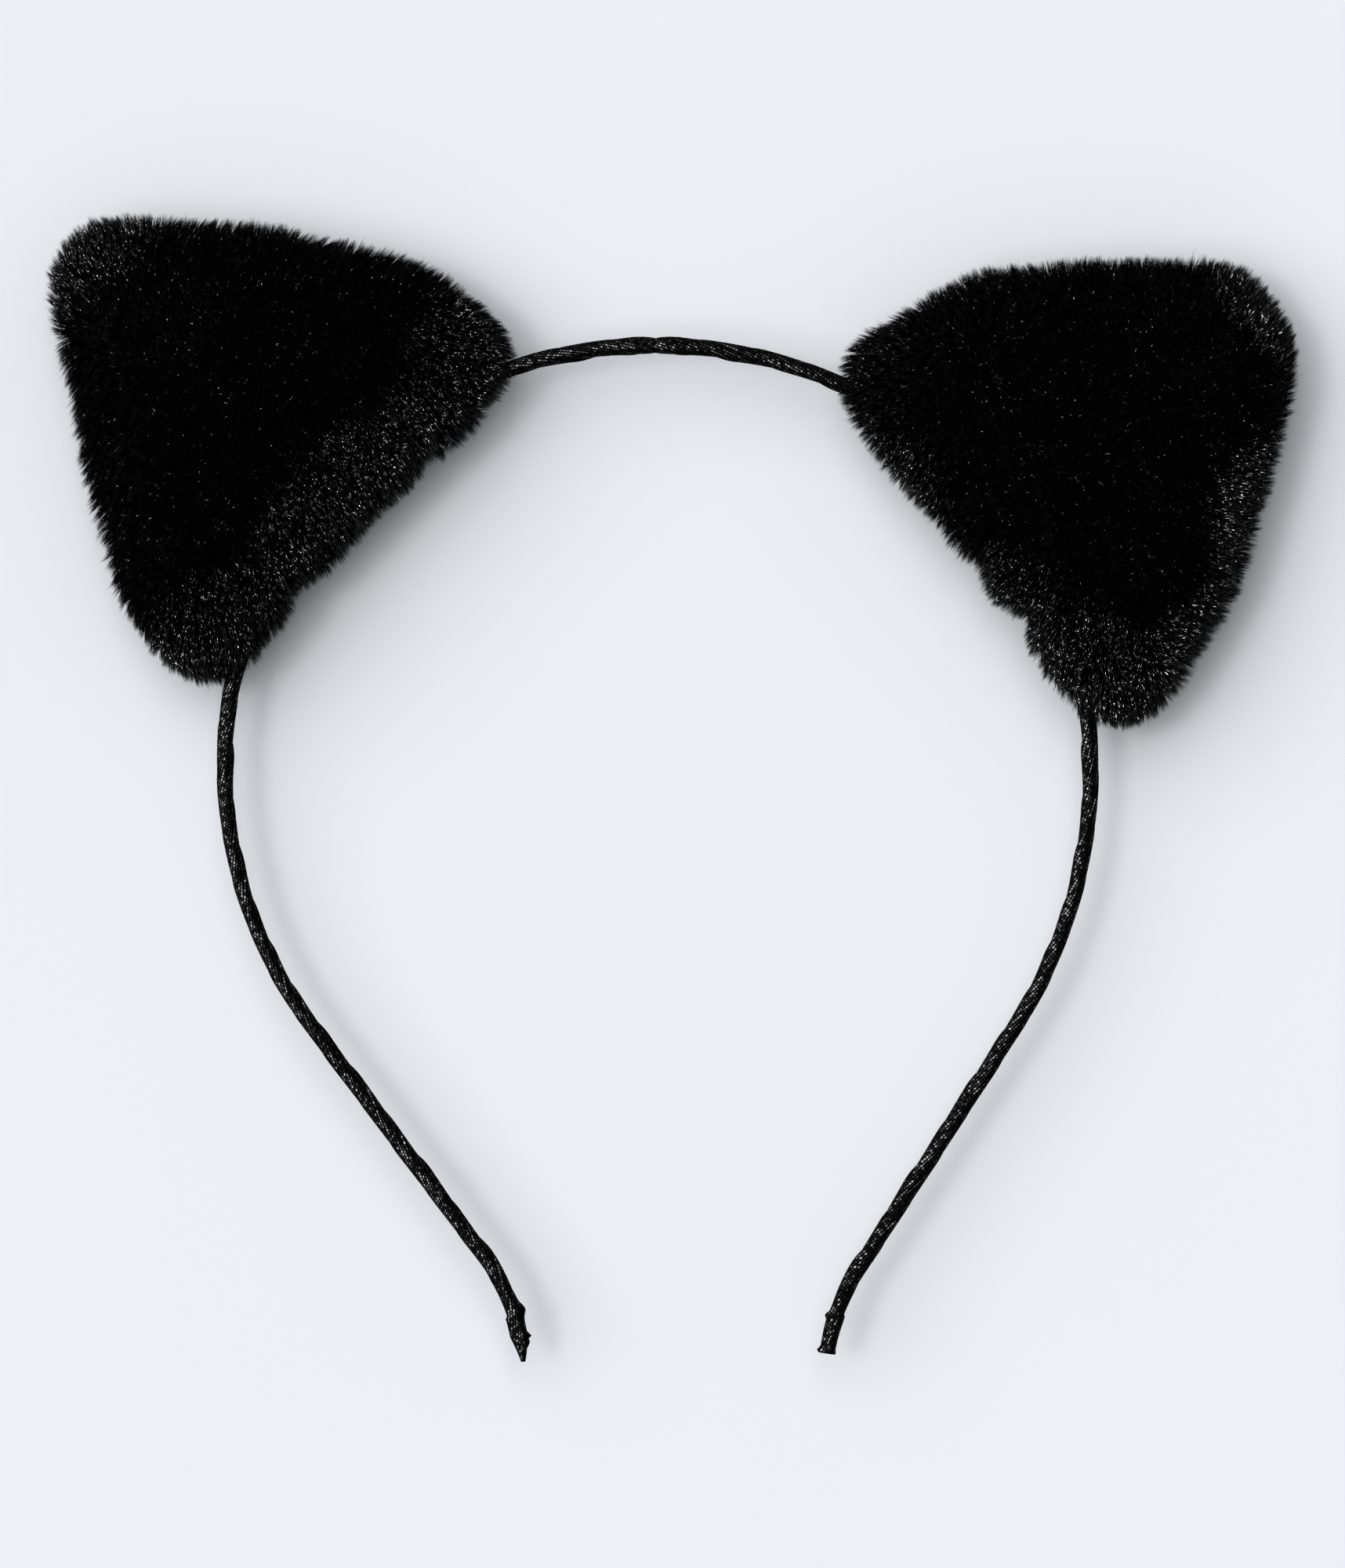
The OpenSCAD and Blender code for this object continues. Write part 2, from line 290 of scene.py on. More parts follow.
def wind_ribbon(name, side, start, end, radius_at):
    """A closed tube along the hoop that twists with the winding, with the weave laid on its UV map."""
    rows = max(8, round((end - start) / ALONG))
    cloth = bmesh.new()
    bmesh.ops.create_grid(cloth, x_segments=rows, y_segments=RIBS * RIB_POINTS, size=0.5)
    weave = cloth.loops.layers.uv.new("weave")
    spread = {}
    for vert in cloth.verts:
        distance = start + (vert.co.x + 0.5) * (end - start)
        around = vert.co.y + 0.5
        twist = way_of(side) * (distance + drift(distance)) / (LAPS * LAP_GAP)
        angle = (around + twist) * math.tau
        spread[vert] = (distance, around)
        vert.co = on_cord(side, distance, angle, radius_at(side, distance, around, angle))
    for face in cloth.faces:
        for loop in face.loops:
            distance, around = spread[loop.vert]
            loop[weave].uv = (RIBS * around, distance / BEAD_GAP)
    bmesh.ops.remove_doubles(cloth, verts=cloth.verts, dist=1e-6)
    rims = [edge for edge in cloth.edges if edge.is_boundary]
    caps = bmesh.ops.holes_fill(cloth, edges=rims, sides=0)["faces"]
    bmesh.ops.recalc_face_normals(cloth, faces=cloth.faces)
    for face in cloth.faces:
        face.smooth = face not in caps
    return add_piece(name, cloth)


def add_piece(name, built):
    """Turns a finished bmesh into an object at the origin."""
    mesh = bpy.data.meshes.new(name)
    built.to_mesh(mesh)
    built.free()
    piece = bpy.data.objects.new(name, mesh)
    bpy.context.collection.objects.link(piece)
    return piece


def beaded_rib():
    """Shader group: round ribs along one way of the weave, nipped into beads along the other."""
    group = bpy.data.node_groups.new("beaded_rib", "ShaderNodeTree")
    face = group.interface
    face.new_socket("Weave", in_out="INPUT", socket_type="NodeSocketVector")
    face.new_socket("Height", in_out="OUTPUT", socket_type="NodeSocketFloat")
    face.new_socket("CrownGlossAndPaintedGlint", in_out="OUTPUT", socket_type="NodeSocketFloat")
    nodes, links = group.nodes, group.links
    source = nodes.new("NodeGroupInput")
    result = nodes.new("NodeGroupOutput")
    split = nodes.new("ShaderNodeSeparateXYZ")
    links.new(source.outputs["Weave"], split.inputs["Vector"])

    def math_node(operation, first, second=None):
        node = nodes.new("ShaderNodeMath")
        node.operation = operation
        for socket, value in zip(node.inputs, (first, second)):
            if isinstance(value, (int, float)):
                socket.default_value = value
            elif value is not None:
                links.new(value, socket)
        return node.outputs["Value"]

    rib = math_node("ABSOLUTE", math_node("SINE", math_node("MULTIPLY", split.outputs["X"], math.pi)))
    rib = math_node("POWER", rib, 0.6)
    row = math_node("FLOOR", split.outputs["X"])
    shifted = math_node("ADD", split.outputs["Y"], math_node("MULTIPLY", row, 0.37))
    bead = math_node("ABSOLUTE", math_node("SINE", math_node("MULTIPLY", shifted, math.pi)))
    bead = math_node("POWER", bead, 0.5)
    nipped = math_node("MULTIPLY", rib, math_node("ADD", math_node("MULTIPLY", bead, 0.7), 0.3))
    links.new(nipped, result.inputs["Height"])
    spot = nodes.new("ShaderNodeCombineXYZ")
    links.new(row, spot.inputs["X"])
    links.new(math_node("FLOOR", shifted), spot.inputs["Y"])
    chance = nodes.new("ShaderNodeTexWhiteNoise")
    chance.noise_dimensions = "2D"
    links.new(spot.outputs["Vector"], chance.inputs["Vector"])
    # Each bead crown, at a random strength, sets the coat's gloss and also a painted glint in the ribbon's
    # colour.
    bright = math_node("ADD", math_node("POWER", chance.outputs["Value"], 3.0), 0.02)
    links.new(math_node("MULTIPLY", math_node("POWER", nipped, 5.0), bright), result.inputs["CrownGlossAndPaintedGlint"])
    return group


def ribbon_material():
    """Black ribbed ribbon: glossy on the crowns of its beads, duller and deeper between them. The crowns
    are also painted a paler warm colour, a painted glint.
    """
    material, nodes, links, shader = new_finish("ribbed_ribbon")
    cloth = nodes.new("ShaderNodeUVMap")
    cloth.uv_map = "weave"
    ribs = nodes.new("ShaderNodeGroup")
    ribs.node_tree = bpy.data.node_groups["beaded_rib"]
    links.new(cloth.outputs["UV"], ribs.inputs["Weave"])
    place = nodes.new("ShaderNodeTexCoord")
    slub = nodes.new("ShaderNodeTexNoise")
    slub.inputs["Scale"].default_value = 900.0
    slub.inputs["Detail"].default_value = 3.0
    links.new(place.outputs["Object"], slub.inputs["Vector"])
    # Painted glint: the bead crowns are painted paler and warmer than the black between them.
    colour = nodes.new("ShaderNodeMix")
    colour.data_type = "RGBA"
    colour.inputs["A"].default_value = (0.0004, 0.0004, 0.0005, 1)
    colour.inputs["B"].default_value = (0.006, 0.0055, 0.0045, 1)
    links.new(ribs.outputs["CrownGlossAndPaintedGlint"], colour.inputs["Factor"])
    links.new(colour.outputs["Result"], shader.inputs["Base Color"])
    links.new(ribs.outputs["CrownGlossAndPaintedGlint"], shader.inputs["Coat Weight"])
    gloss = nodes.new("ShaderNodeMapRange")
    gloss.inputs["To Min"].default_value = 0.7
    gloss.inputs["To Max"].default_value = 0.4
    links.new(slub.outputs["Fac"], gloss.inputs["Value"])
    links.new(gloss.outputs["Result"], shader.inputs["Roughness"])
    relief = nodes.new("ShaderNodeMath")
    relief.operation = "MULTIPLY_ADD"
    relief.inputs[1].default_value = 0.15
    links.new(slub.outputs["Fac"], relief.inputs[0])
    links.new(ribs.outputs["Height"], relief.inputs[2])
    bump = nodes.new("ShaderNodeBump")
    bump.inputs["Strength"].default_value = 1.0
    bump.inputs["Distance"].default_value = 0.12 * MM
    links.new(relief.outputs["Value"], bump.inputs["Height"])
    links.new(bump.outputs["Normal"], shader.inputs["Normal"])
    shader.inputs["Specular IOR Level"].default_value = 0.02
    shader.inputs["Coat Roughness"].default_value = 0.25
    shader.inputs["Coat IOR"].default_value = 2.4
    return material


beaded_rib()
ribbed_ribbon = ribbon_material()
FOLD = 9.5 * MM
TUCK_UNDER = 0.5 * MM


def joined_radius(side, distance, around, angle):
    """The same winding, humped beside the join at the top of the crown and nipped in at it."""
    hump = 0.12 * MM * math.exp(-(((distance - 3 * MM) / (1.8 * MM)) ** 2))
    nip = 0.16 * MM * math.exp(-((distance / (0.7 * MM)) ** 2))
    under = 0.1 * MM if side == "right" and distance < 0 else 0
    return wound_radius(side, distance, around, angle) + hump - nip - under


for side in SIDES:
    crown_end = hoop_length(side, 1)
    side_end = hoop_length(side, 2)
    split = (crown_end + side_end) / 2
    fold_from = hoop_length(side) - FOLD
    crown_from = 0 if side == "left" else -TUCK_UNDER
    crown_ribbon = wind_ribbon(f"ribbon_winding_crown_{side}", side, crown_from, split, joined_radius)
    leg_ribbon = wind_ribbon(f"ribbon_winding_leg_{side}", side, split, fold_from, wound_radius)
    for piece, first, second, bend in (
        (crown_ribbon, "crown", f"side_{side}", crown_end),
        (leg_ribbon, f"side_{side}", f"leg_{side}", side_end),
    ):
        piece.data.materials.append(ribbed_ribbon)
        here, forward = hoop_at(side, bend)
        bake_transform(piece)
        ribbon_glints.objects.link(piece)
    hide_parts(f"ribbon_crown_{side}", f"ribbon_side_{side}")
    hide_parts(f"ribbon_leg_{side}")

# ---------------------------------------------------------------- ribbon ends
# Past the end of the wire the ribbon is turned back and wrapped over itself as a flat cuff. The
# left one is melted to a slanting point with a frayed lip, and the right one is cut square.
CUFF_FLAT = 0.82
CUFF_R = 1.06 * MM
MELTED_POINT = 0.8 * MM


def bump_at(value, centre, width):
    return math.exp(-(((value - centre) / width) ** 2))


def step_at(value, place, width):
    """Goes from 0 to 1 as value falls past place."""
    return 1 / (1 + math.exp((value - place) / width))


def cuff_end(side):
    """The left cuff's melted point runs on past the end of the wire."""
    return hoop_length(side) + (MELTED_POINT if side == "left" else 0)


def cuff_radius(side, distance, around, angle):
    """A cuff's radius, with its outer fold and the bulge and lip on its inner side, in mm from its end."""
    to_end = (cuff_end(side) - distance) / MM
    out = max(0.0, math.cos(angle)) ** 1.5
    inward = max(0.0, -math.cos(angle)) ** 1.5
    flat = abs(math.sin(angle)) ** 2
    if side == "left":
        grown = 0.34 * out * step_at(to_end, 7.0, 0.06) + 0.7 * inward * bump_at(to_end, 7.4, 0.95)
        frayed = 0.42 + 0.18 * math.sin(to_end * 9) + 0.12 * math.sin(to_end * 23 + 1)
        grown += inward * frayed * step_at(to_end, 4.0, 0.08) * (1 - step_at(to_end, 2.1, 0.12))
        grown += 0.12 * inward * step_at(to_end, 6.4, 0.1)
        taper = min(1.0, 0.24 + 0.2 * max(to_end, 0.0)) if to_end < 4 else 1.0
    else:
        grown = 0.26 * out * step_at(to_end, 6.1, 0.06) + 0.42 * inward * bump_at(to_end, 5.4, 0.4)
        grown += 0.1 * inward * step_at(to_end, 5.6, 0.2)
        grown += 0.5 * inward * bump_at(to_end, 0.35, 0.35) + 0.16 * out * bump_at(to_end, 0.2, 0.3)
        taper = 1.0 - 0.1 * step_at(to_end, 3, 0.8)
    ribs = wound_radius(side, distance, around, angle)
    level = 1 - (1 - CUFF_FLAT) * flat * step_at(to_end, 6.6, 0.5)
    blend = step_at(to_end, 6.8, 0.4)
    plain = ribs * (1 - blend) + (CUFF_R + 0.25 * (ribs - RIBBON_R)) * blend
    return (plain + grown * MM) * taper * level


for side in SIDES:
    cuff_from = hoop_length(side) - FOLD
    cuff = wind_ribbon(f"ribbon_fold_{side}", side, cuff_from, cuff_end(side), cuff_radius)
    cuff.data.materials.append(ribbed_ribbon)
    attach(cuff, f"leg_{side}")
    ribbon_glints.objects.link(cuff)
    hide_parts(f"ribbon_end_{side}")

# ---------------------------------------------------------------- padded ears
# Two panels of faux fur are sewn together, turned and stuffed with polyester wadding, then threaded
# on the wire and tacked at both corners. This is their dense underfur, which the pile grows from.
EAR_HALF = 9.1 * MM
PILE_RISE = 2.3 * MM
PUFF_CAP = 0.7 * MM
REMESH_GAP = 1.6 * MM
PRESSURE = 4.0
PANEL_MASS = 0.00012
PUFF_FRAMES = 20
SEAM_THREAD = 0.3 * MM
SEAM_PULL = 9 * MM
OFF_TABLE = 1.0 * MM
# Each round of an ear's outline: along the base from its middle, up from the base, its radius, and
# its share of the full thickness.
ROUNDS = {
    "left": (
        (-26, 7.4, 9.6, 0.86), (26.9, 8, 9.5, 0.84), (-1, 49.4, 11.4, 0.84), (-12, 33.5, 12.6, 0.97),
        (-22.5, 17, 11.4, 0.95), (12, 28.4, 14.1, 0.97), (24.2, 15, 10.9, 0.9), (-3, 22, 16, 1.0),
        (-20, 8.6, 11.4, 0.9),
    ),
    "right": (
        (-25.5, 6.8, 8.9, 0.86), (27.5, 7.3, 9.4, 0.84), (-3.5, 47.8, 10.3, 0.9), (2.2, 47.3, 10.2, 0.9),
        (-20.5, 21, 11.6, 0.95), (-12, 32, 13.2, 0.97), (12.4, 28, 13.9, 0.97), (20.1, 21.5, 11.5, 0.93),
        (-2, 22, 16, 1.0), (-19.5, 8, 11.1, 0.9), (21, 7.6, 10.3, 0.88),
    ),
}
# Tucks where the hand-sewn base pulls in: along the base, depth and half width.
TUCKS = {
    "left": ((-12.5, 1.0, 2.2), (14.2, 2.3, 3.0), (1, 0.9, 13)),
    "right": ((-5, 1.0, 2.4), (3.2, 1.3, 2.2), (13.6, 2.6, 2.6), (3, 0.5, 11)),
}


def ear_matrix(side):
    """An ear's own frame: X along its base to the leg, Y towards its tip, Z up."""
    start, _ = hoop_at(side, hoop_length(side, 1))
    end, _ = hoop_at(side, hoop_length(side, 2))
    along = (end - start).normalized()
    up = way_of(side) * Vector((-along.y, along.x, 0))
    turn = Matrix((along, up, Vector((0, 0, 1)))).transposed().to_4x4()
    return Matrix.Translation((start + end) / 2) @ turn


def settled(piece):
    """The piece's mesh as its modifiers leave it now."""
    graph = bpy.context.evaluated_depsgraph_get()
    return bpy.data.meshes.new_from_object(piece.evaluated_get(graph))


def take_modifiers(piece):
    shaped = settled(piece)
    piece.modifiers.clear()
    piece.data = shaped


def mesh_points(mesh):
    points = np.empty(len(mesh.vertices) * 3, dtype=np.float32)
    mesh.vertices.foreach_get("co", points)
    return points.reshape(-1, 3)


def set_points(mesh, points):
    mesh.vertices.foreach_set("co", points.astype(np.float32).ravel())
    mesh.update()


def puff_up(piece):
    """Wadding pushes the panels out: a cloth simulation under pressure, capped to a small swell."""
    cloth = piece.modifiers.new("puff", "CLOTH")
    cloth.settings.use_pressure = True
    cloth.settings.uniform_pressure_force = PRESSURE
    cloth.settings.mass = PANEL_MASS
    cloth.settings.effector_weights.gravity = 0
    before = mesh_points(piece.data)
    for moment in range(1, PUFF_FRAMES + 1):
        bpy.context.scene.frame_set(moment)
    swollen = mesh_points(settled(piece))
    piece.modifiers.clear()
    bpy.context.scene.frame_set(1)
    move = swollen - before
    far = np.linalg.norm(move, axis=1, keepdims=True)
    move *= np.minimum(1, PUFF_CAP / np.maximum(far, 1e-9))
    set_points(piece.data, before + move)


def sew_tucks(piece, side):
    """Pulls the base in where the hand seam gathers it, and keeps the pad off the table."""
    points = mesh_points(piece.data)
    ear = ear_matrix(side)
    local = (points - np.array(ear.translation)) @ np.array(ear.to_3x3())
    near_base = np.clip(1 - local[:, 1] / SEAM_PULL, 0, 1)
    pull = np.zeros(len(points))
    for along, depth, width in TUCKS[side]:
        pull += depth * MM * np.exp(-(((local[:, 0] - along * MM) / (width * MM)) ** 2))
    points += np.outer(pull * near_base, np.array(ear.col[1].xyz))
    points[:, 2] = np.maximum(points[:, 2], OFF_TABLE)
    set_points(piece.data, points)


def make_pad(side):
    blob = bmesh.new()
    thick = EAR_HALF - PILE_RISE
    for along, up, radius, share in ROUNDS[side]:
        reach = radius * MM - PILE_RISE
        ball = bmesh.ops.create_icosphere(blob, subdivisions=4, radius=1)["verts"]
        bmesh.ops.scale(blob, verts=ball, vec=(reach, reach, thick * share))
        bmesh.ops.translate(blob, verts=ball, vec=(along * MM, up * MM, 0))
    wrapped = bmesh.ops.convex_hull(blob, input=blob.verts)
    left_over = wrapped["geom_interior"] + wrapped["geom_unused"]
    spare = {part for part in left_over if isinstance(part, bmesh.types.BMVert)}
    bmesh.ops.delete(blob, geom=list(spare), context="VERTS")
    bmesh.ops.transform(blob, matrix=ear_matrix(side), verts=blob.verts)
    bmesh.ops.recalc_face_normals(blob, faces=blob.faces)
    pad = add_piece(f"ear_pad_{side}", blob)
    remesh = pad.modifiers.new("remesh", "REMESH")
    remesh.mode = "VOXEL"
    remesh.voxel_size = REMESH_GAP
    remesh.use_smooth_shade = True
    take_modifiers(pad)
    puff_up(pad)
    sew_tucks(pad, side)
    finer = pad.modifiers.new("finer", "SUBSURF")
    finer.levels = 1
    finer.render_levels = 1
    take_modifiers(pad)
    pad.data.materials.append(underfur)
    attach(pad, f"ear_{side}")
    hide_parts(f"fur_front_{side}", f"fur_back_{side}")
    return pad


def sew_rim(side):
    """The edge seam's thread, laid along the rim where the two panels meet."""
    rim = bmesh.new()
    rim.from_mesh(ear_pads[side].data)
    everything = rim.verts[:] + rim.edges[:] + rim.faces[:]
    cut = bmesh.ops.bisect_plane(rim, geom=everything, plane_co=(0, 0, hoop_z), plane_no=(0, 0, 1))
    line = {part for part in cut["geom_cut"] if isinstance(part, bmesh.types.BMEdge)}
    spare = [edge for edge in rim.edges if edge not in line]
    bmesh.ops.delete(rim, geom=spare, context="EDGES")
    loose = [vert for vert in rim.verts if not vert.link_edges]
    bmesh.ops.delete(rim, geom=loose, context="VERTS")
    girth = rim.verts.layers.skin.verify()
    for number, vert in enumerate(rim.verts):
        vert[girth].radius = (SEAM_THREAD, SEAM_THREAD)
        vert[girth].use_root = number == 0
    seam = add_piece(f"rim_seam_{side}", rim)
    seam.modifiers.new("thread", "SKIN")
    take_modifiers(seam)
    seam.data.materials.append(sewing_thread)
    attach(seam, f"ear_{side}")
    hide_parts(f"edge_seam_{side}")


def underfur_material():
    """Crimped underfur: soft, matt and almost black, with fine clumps."""
    material, nodes, links, shader = new_finish("underfur")
    place = nodes.new("ShaderNodeTexCoord")
    clump = nodes.new("ShaderNodeTexNoise")
    clump.inputs["Scale"].default_value = 1500.0
    clump.inputs["Detail"].default_value = 4.0
    colour = nodes.new("ShaderNodeMix")
    colour.data_type = "RGBA"
    colour.inputs["A"].default_value = (0.0006, 0.0006, 0.0008, 1)
    colour.inputs["B"].default_value = (0.0045, 0.0043, 0.0046, 1)
    links.new(place.outputs["Object"], clump.inputs["Vector"])
    links.new(clump.outputs["Fac"], colour.inputs["Factor"])
    links.new(colour.outputs["Result"], shader.inputs["Base Color"])
    bump = nodes.new("ShaderNodeBump")
    bump.inputs["Strength"].default_value = 1.0
    bump.inputs["Distance"].default_value = 0.3 * MM
    links.new(clump.outputs["Fac"], bump.inputs["Height"])
    links.new(bump.outputs["Normal"], shader.inputs["Normal"])
    shader.inputs["Roughness"].default_value = 0.95
    shader.inputs["Specular IOR Level"].default_value = 0.05
    return material


underfur = underfur_material()
ear_pads = {side: make_pad(side) for side in SIDES}

# ---------------------------------------------------------------- wadding and thread
# Inside each ear is white polyester wadding. Black polyester thread sews the panels together, closes
# the base and tacks both corners to the wire.


def wadding_material():
    """Loose white polyester fibres, matt and slightly uneven."""
    material, nodes, links, shader = new_finish("polyester_wadding")
    place = nodes.new("ShaderNodeTexCoord")
    fibres = nodes.new("ShaderNodeTexNoise")
    fibres.inputs["Scale"].default_value = 700.0
    fibres.inputs["Detail"].default_value = 6.0
    colour = nodes.new("ShaderNodeMix")
    colour.data_type = "RGBA"
    colour.inputs["A"].default_value = (0.55, 0.55, 0.56, 1)
    colour.inputs["B"].default_value = (0.82, 0.82, 0.81, 1)
    bump = nodes.new("ShaderNodeBump")
    bump.inputs["Distance"].default_value = 0.5 * MM
    links.new(place.outputs["Object"], fibres.inputs["Vector"])
    links.new(fibres.outputs["Fac"], colour.inputs["Factor"])
    links.new(fibres.outputs["Fac"], bump.inputs["Height"])
    links.new(colour.outputs["Result"], shader.inputs["Base Color"])
    links.new(bump.outputs["Normal"], shader.inputs["Normal"])
    shader.inputs["Roughness"].default_value = 0.95
    shader.inputs["Specular IOR Level"].default_value = 0.1
    return material


def thread_material():
    """Black sewing thread: fine slanting plies with a dull gloss."""
    material, nodes, links, shader = new_finish("sewing_thread")
    place = nodes.new("ShaderNodeTexCoord")
    plies = nodes.new("ShaderNodeTexWave")
    plies.bands_direction = "DIAGONAL"
    plies.inputs["Scale"].default_value = 1300.0
    plies.inputs["Distortion"].default_value = 1.0
    colour = nodes.new("ShaderNodeMix")
    colour.data_type = "RGBA"
    colour.inputs["A"].default_value = (0.0008, 0.0008, 0.001, 1)
    colour.inputs["B"].default_value = (0.008, 0.0078, 0.008, 1)
    bump = nodes.new("ShaderNodeBump")
    bump.inputs["Distance"].default_value = 0.06 * MM
    links.new(place.outputs["Object"], plies.inputs["Vector"])
    links.new(plies.outputs["Fac"], colour.inputs["Factor"])
    links.new(plies.outputs["Fac"], bump.inputs["Height"])
    links.new(colour.outputs["Result"], shader.inputs["Base Color"])
    links.new(bump.outputs["Normal"], shader.inputs["Normal"])
    shader.inputs["Roughness"].default_value = 0.55
    shader.inputs["Specular IOR Level"].default_value = 0.25
    return material


polyester_wadding = wadding_material()
sewing_thread = thread_material()
for side in SIDES:
    paint_node(f"wadding_{side}", polyester_wadding)
    for sewn in ("base_seam", "inner_tack", "outer_tack"):
        paint_node(f"{sewn}_{side}", sewing_thread)
    sew_rim(side)

# ---------------------------------------------------------------- fur pile
# Glossy black guard hairs a little over 3 mm long, woven into the backing cloth and combed outwards.
# They gather in small locks, stand up on the flat of the ear and lie over its edges.
PILE_LENGTH = 3.3 * MM
HAIR_R = 0.034 * MM
HAIRS_PER_EAR = 80000
BACK_SHARE = 0.15
BACK_TURN = -0.35
LOCK_GAP = 0.9 * MM
MOST_HAIRS = 19000
STRAY_SHARE = 0.02
STRAY_LEAN = 1.4 * MM
STRAY_SHINE = 0.9
WIDE_SWIRL = 0.08
FINE_SWIRL = 0.1
JITTER = 0.13
HAIRS_PER_LOCK = 10
ROOT_DEPTH = 0.2 * MM
GUIDE_REACH = 3 * MM
CORD_CLEAR = 1.6 * MM
CORD_REACH = 12 * MM
# Combing guides: along the base, up from the base, the heading the hairs are combed to in degrees
# counted from the hoop's right, how flat they lie, and how sleek they are.
GUIDES = {
    "left": (
        (-28, 6, -15, 0.8, 1.2), (-10, 1, -60, 0.85, 1.4), (10, 1, -65, 0.85, 1.4), (28, 6, -85, 0.85, 1.2),
        (-18, 7, -45, 0.75, 1.4), (-4, 8, -60, 0.75, 1.5), (9, 8, -65, 0.75, 1.5), (21, 8, -75, 0.7, 1.3),
        (31, 22, -85, 0.75, 0.6), (16, 43, -100, 0.75, 0.6), (-2, 54, 110, 0.8, 1.2),
        (-16, 46, 60, 0.75, 0.7), (-30, 22, 45, 0.75, 0.6), (0, 26, -60, 0.08, 0), (-14, 19, -60, 0.08, 0),
        (14, 19, -70, 0.08, 0), (-2, 41, 100, 0.12, 0),
    ),
    "right": (
        (-30, 6, 195, 0.8, 0.8), (-12, 1, -125, 0.8, 1.0), (8, 1, -130, 0.8, 1.0), (30, 5, -80, 0.85, 1.4),
        (20, 5, -100, 0.7, 1.2), (33, 18, -15, 0.85, 1.5), (22, 36, 0, 0.85, 1.5), (-2, 54, 55, 0.8, 1.3),
        (-16, 45, 85, 0.75, 0.4), (-30, 22, 120, 0.75, 0.4), (2, 26, -60, 0.06, 0), (-14, 19, -90, 0.08, 0),
        (-6, 9, -110, 0.2, 0.3), (15, 20, -60, 0.1, 0), (-2, 41, 70, 0.12, 0),
    ),
}


def hair_shape():
    """One hair as a closed three-sided spike: cross-section in X and Y, 0 to 1 along Z."""
    spike = bmesh.new()
    ring = bmesh.ops.create_circle(spike, cap_ends=True, segments=3, radius=1)["verts"]
    root = spike.faces[:]
    middle_ring = bmesh.ops.extrude_face_region(spike, geom=root)["geom"]
    upper = [part for part in middle_ring if isinstance(part, bmesh.types.BMVert)]
    bmesh.ops.translate(spike, verts=upper, vec=(0, 0, 0.5))
    bmesh.ops.scale(spike, verts=upper, vec=(0.9, 0.9, 1))
    cap = [part for part in middle_ring if isinstance(part, bmesh.types.BMFace)]
    tip = bmesh.ops.poke(spike, faces=cap)["verts"]
    bmesh.ops.translate(spike, verts=tip, vec=(0, 0, 0.5))
    bmesh.ops.triangulate(spike, faces=spike.faces)
    bmesh.ops.recalc_face_normals(spike, faces=spike.faces)
    points = np.array([vert.co[:] for vert in spike.verts])
    faces = np.array([[vert.index for vert in face.verts] for face in spike.faces])
    spike.free()
    return points, faces


def smooth_noise(points, size, rng, waves=7):
    """Gentle waves over space, one column each for X, Y and Z."""
    total = np.zeros((len(points), 3))
    for _ in range(waves):
        travel = rng.normal(size=3)
        travel *= math.tau / (size * np.linalg.norm(travel))
        phase = rng.uniform(0, math.tau, 3)
        total += np.sin((points @ travel)[:, None] + phase)
    return total / math.sqrt(waves / 2)


def unit(rows):
    return rows / np.maximum(np.linalg.norm(rows, axis=1, keepdims=True), 1e-9)


def sow(mesh, count, rng):
    """Hair roots spread evenly over the pad, thinner on the back, with the pad's normals there."""
    mesh.calc_loop_triangles()
    corners = np.empty(len(mesh.loop_triangles) * 3, dtype=np.int32)
    mesh.loop_triangles.foreach_get("vertices", corners)
    corners = corners.reshape(-1, 3)
    points = mesh_points(mesh).astype(float)
    normals = np.array([vert.normal[:] for vert in mesh.vertices])
    first, second, third = (points[corners[:, k]] for k in range(3))
    area = np.linalg.norm(np.cross(second - first, third - first), axis=1)
    facing = normals[corners].mean(axis=1)[:, 2]
    area *= np.where(facing < -0.5, BACK_SHARE, 1.0)
    chosen = rng.choice(len(area), size=count, p=area / area.sum())
    share = rng.dirichlet((1, 1, 1), size=count)
    places = (points[corners[chosen]] * share[:, :, None]).sum(axis=1)
    facing = unit((normals[corners[chosen]] * share[:, :, None]).sum(axis=1))
    return places, facing


def comb(side, places):
    """The way each hair is combed, how flat it lies and how sleek it is, blended from the guides."""
    ear = ear_matrix(side)
    local = (places - np.array(ear.translation)) @ np.array(ear.to_3x3())
    heading = np.zeros((len(places), 3))
    lay = np.zeros(len(places))
    sleek = np.zeros(len(places))
    total = np.zeros(len(places))
    for along, up, degrees, flat, gloss in GUIDES[side]:
        apart = (local[:, 0] - along * MM) ** 2 + (local[:, 1] - up * MM) ** 2
        weight = 1 / (apart + GUIDE_REACH**2) ** 2
        turn = math.radians(degrees)
        heading += weight[:, None] * np.array((math.cos(turn), math.sin(turn), 0))
        lay += weight * flat
        sleek += weight * gloss
        total += weight
    return unit(heading), lay / total, sleek / total


